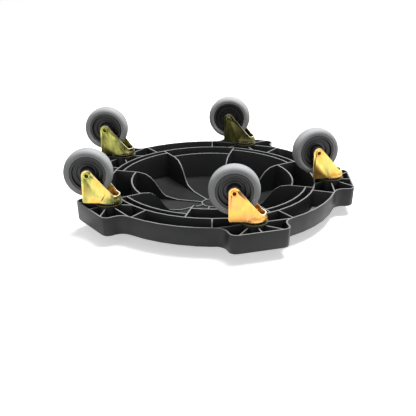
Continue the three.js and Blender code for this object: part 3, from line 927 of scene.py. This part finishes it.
def kingpin_model():
    shank = PIN_SHANK_R
    flange = pin_high.x
    thick = PIN_FLANGE_T
    profile = [
        (PIN_BORE_R, pin_low.z),
        (flange - 2.4 * MM, pin_low.z),
        (flange, pin_low.z + 0.9 * MM),
        (flange, pin_low.z + thick),
        (shank, pin_low.z + thick),
        (shank, pin_high.z),
        (PIN_BORE_R, pin_high.z),
    ]
    thing = spun("kingpin_model", [(r, 0, z) for r, z in profile], SMALL_STEPS)
    return smooth(rounded(thing, 0.25 * MM), math.radians(40))


def balls_model():
    """Balls set round the race one by one, then joined."""
    middle = (ball_low.z + ball_high.z) / 2
    balls = []
    for index in range(BALL_COUNT):
        angle = TAU * index / BALL_COUNT
        bpy.ops.object.select_all(action="DESELECT")
        bpy.ops.mesh.primitive_ico_sphere_add(
            subdivisions=3, radius=BALL_R,
            location=(BALL_CIRCLE_R * math.cos(angle), BALL_CIRCLE_R * math.sin(angle), middle),
        )
        balls.append(bpy.context.active_object)
    for ball in balls:
        ball.select_set(True)
    bpy.ops.object.join()
    thing = bpy.context.active_object
    bpy.ops.object.transform_apply(location=True, rotation=True, scale=True)
    return smooth(thing, math.radians(60))


race_once = race_model()
kingpin_once = kingpin_model()
balls_once = balls_model()

# %% [markdown]
# ## Fasteners
# An M12 bolt goes up through the kingpin and the pad, with a washer and a locking nut in the recess on
# top. Hexagon heads are a six-step spin whose corners are then cut back by a cone, as a lathe chamfers
# them.

# %% Bolt, washer and nut
bolt_low, bolt_high = local_box("mounting_bolt_1", pad_place(1))
washer_low, washer_high = local_box("washer_1", pad_place(1))
nut_low, nut_high = local_box("lock_nut_1", pad_place(1))
HEX_R = nut_high.x
HEX_FLAT_R = HEX_R * math.cos(math.pi / 6)
THREAD_R = 6 * MM
THREAD_TIP = 1.2 * MM  # height of the bolt's tapered tip
CORNER_CUT = 0.2 * MM  # how far the chamfer cuts inside a hexagon's flats
HEAD_H = 7.5 * MM
CHAMFER = 0.9 * MM
NUT_HEX_SHARE = 0.68  # of the nut's height; the rest is its locking collar


def chamfered_hex(name, low, high, both_ends):
    """A hexagon prism with its corners turned off at one or both ends."""
    thing = spun(name, [(0, 0, low), (HEX_R, 0, low), (HEX_R, 0, high), (0, 0, high)], 6, closed=False)
    top_r = HEX_FLAT_R - CORNER_CUT if both_ends else HEX_R + MM
    top_z = high - CHAMFER if both_ends else high + MM
    profile = [(0, low), (HEX_FLAT_R - CORNER_CUT, low), (HEX_R + 0.3 * MM, low + CHAMFER + 0.4 * MM)]
    profile += [(HEX_R + 0.3 * MM, top_z - 0.4 * MM), (top_r, high), (0, high)]
    cone = spun("chamfer", [(r, 0, z) for r, z in profile], SMALL_STEPS, closed=False)
    return combined(thing, cone, "INTERSECT")


def bolt_model():
    seat = bolt_low.z + HEAD_H
    thing = chamfered_hex("bolt_model", bolt_low.z, seat, False)
    tip = [(0, seat - MM), (THREAD_R, seat - MM), (THREAD_R, bolt_high.z - THREAD_TIP)]
    tip += [(THREAD_R - 1.0 * MM, bolt_high.z), (0, bolt_high.z)]
    shank = spun("shank", [(r, 0, z) for r, z in tip], SMALL_STEPS, closed=False)
    return smooth(rounded(combined(thing, shank, "UNION"), 0.25 * MM), math.radians(40))


def washer_model():
    outer = washer_high.x
    profile = [
        (PIN_BORE_R, washer_low.z),
        (outer, washer_low.z),
        (outer, washer_high.z),
        (PIN_BORE_R, washer_high.z),
    ]
    thing = spun("washer_model", [(r, 0, z) for r, z in profile], SMALL_STEPS)
    return smooth(rounded(thing, 0.35 * MM), math.radians(40))


def nut_model():
    hex_top = nut_low.z + NUT_HEX_SHARE * (nut_high.z - nut_low.z)
    thing = chamfered_hex("nut_model", nut_low.z, hex_top, True)
    collar_r = HEX_FLAT_R - 0.6 * MM
    profile = [(0, hex_top - MM), (collar_r, hex_top - MM), (collar_r, nut_high.z - 0.9 * MM)]
    profile += [(HEX_FLAT_R - 2.0 * MM, nut_high.z), (0, nut_high.z)]
    collar = spun("collar", [(r, 0, z) for r, z in profile], SMALL_STEPS, closed=False)
    thing = combined(thing, collar, "UNION")
    hole_r = THREAD_R + RUN_GAP
    profile = [(0, nut_low.z - MM), (hole_r, nut_low.z - MM), (hole_r, nut_high.z + MM), (0, nut_high.z + MM)]
    hole = spun("hole", [(r, 0, z) for r, z in profile], SMALL_STEPS, closed=False)
    thing = combined(thing, hole, "DIFFERENCE")
    return smooth(rounded(thing, 0.25 * MM), math.radians(40))


bolt_once = bolt_model()
washer_once = washer_model()
nut_once = nut_model()

# %% Copy the swivel and its fasteners to every pad
for number in CASTERS:
    place = pad_place(number)
    zinc = YELLOW_ZINC[number]
    for once, name, node_name, material, slot, body in (
        (race_once, "race_cap", "upper_race", RACE_ZINC_PAINTED_SHADE, "yellow_zinc", "deck_body"),
        (kingpin_once, "kingpin_rivet", "kingpin", zinc, "yellow_zinc", "deck_body"),
        (balls_once, "ball_set", "ball_ring", BEARING_STEEL, "bearing_steel", f"ball_ring_body_{number}"),
        (bolt_once, "hex_bolt", "mounting_bolt", BRIGHT_ZINC, "bright_zinc", "deck_body"),
        (washer_once, "flat_washer", "washer", BRIGHT_ZINC, "bright_zinc", "deck_body"),
        (nut_once, "locking_nut", "lock_nut", BRIGHT_ZINC, "bright_zinc", "deck_body"),
    ):
        piece = copied(once, f"{name}_{number}", place)
        hand_over(piece, material, body, slot, f"{node_name}_{number}")

for once in (tyre_once, hub_once, axle_once, sleeve_once, fork_once, race_once, kingpin_once, balls_once,
             bolt_once, washer_once, nut_once):
    bpy.data.objects.remove(once)

# %% [markdown]
# ## Floor and light
# The caddy may be seen wheels up, lying on its load face, or the right way up on its wheels. So there are
# two pale floors, one at each level. Each shows only on the side that faces the caddy and casts no
# shadow, so light from either side gets past it.

# %% Floors
FLOOR_SIZE = 60.0
FLOOR_GAP = 0.2 * MM


def floor(name, z, faces_down):
    bpy.ops.object.select_all(action="DESELECT")
    bpy.ops.mesh.primitive_plane_add(size=FLOOR_SIZE, location=(0, 0, z))
    thing = bpy.context.active_object
    thing.name = name
    if faces_down:
        bpy.ops.object.mode_set(mode="EDIT")
        bpy.ops.mesh.select_all(action="SELECT")
        bpy.ops.mesh.flip_normals()
        bpy.ops.object.mode_set(mode="OBJECT")
    bpy.ops.object.transform_apply(location=True, rotation=True, scale=True)
    material = bpy.data.materials.new(name)
    material.use_nodes = True
    tree = material.node_tree
    tree.nodes.clear()
    pale = node(tree, "ShaderNodeBsdfDiffuse", {"Color": (0.9, 0.9, 0.9, 1)})
    glow = node(tree, "ShaderNodeEmission", {"Color": (1, 1, 1, 1), "Strength": 0.5})
    both = node(tree, "ShaderNodeAddShader", links={0: pale.outputs[0], 1: glow.outputs[0]})
    clear = node(tree, "ShaderNodeBsdfTransparent")
    back = node(tree, "ShaderNodeNewGeometry").outputs["Backfacing"]
    side = node(tree, "ShaderNodeMixShader", links={0: back, 1: both.outputs[0], 2: clear.outputs[0]})
    node(tree, "ShaderNodeOutputMaterial", links={"Surface": side.outputs[0]})
    thing.data.materials.append(material)
    thing.visible_shadow = False
    thing.visible_diffuse = False


floor("floor_under_load_face", cad_high[2] + FLOOR_GAP, True)
floor("floor_under_wheels", cad_low[2] - FLOOR_GAP, False)

# %% [markdown]
# The main light is a wide soft box over the wheels, a little to the right. Two weak ones fill from the
# left and the right, and one on the far side lights the load face when the caddy stands on its wheels.

# %% Lights
def soft_box(name, spot, aim, size, watts, colour=(1, 1, 1)):
    light = bpy.data.lights.new(name, "AREA")
    light.shape = "DISK"
    light.size = size
    light.energy = watts
    light.color = colour
    thing = bpy.data.objects.new(name, light)
    bpy.context.scene.collection.objects.link(thing)
    thing.location = spot
    thing.rotation_euler = (Vector(aim) - Vector(spot)).to_track_quat("-Z", "Y").to_euler()


AIM = (0, 0, -0.1)
soft_box("key", (0.5, -0.3, -2.5), AIM, 1.6, 112)
soft_box("front_fill", (-1.6, 2.2, -0.9), AIM, 1.6, 9)
soft_box("right_fill", (2.4, 1.2, -0.3), AIM, 1.4, 8)
soft_box("load_side", (-0.8, -1.2, 2.2), AIM, 1.8, 22)

world = bpy.data.worlds.new("studio")
bpy.context.scene.world = world
world.use_nodes = True
sky = world.node_tree
sky.nodes.clear()
soft = node(sky, "ShaderNodeBackground", {"Color": (1, 1, 1, 1), "Strength": 0.30})
white = node(sky, "ShaderNodeBackground", {"Color": (1, 1, 1, 1), "Strength": 1.0})
seen = node(sky, "ShaderNodeLightPath").outputs["Is Camera Ray"]
either = node(sky, "ShaderNodeMixShader", links={0: seen, 1: soft.outputs[0], 2: white.outputs[0]})
node(sky, "ShaderNodeOutputWorld", links={"Surface": either.outputs[0]})
bpy.context.scene.view_settings.view_transform = "Standard"

# %% [markdown]
# ## Sizes
# The frame's box is printed.

# %% Print the frame's box and finish
print("cad box", [round(v, 4) for v in (*cad_low, *cad_high)])
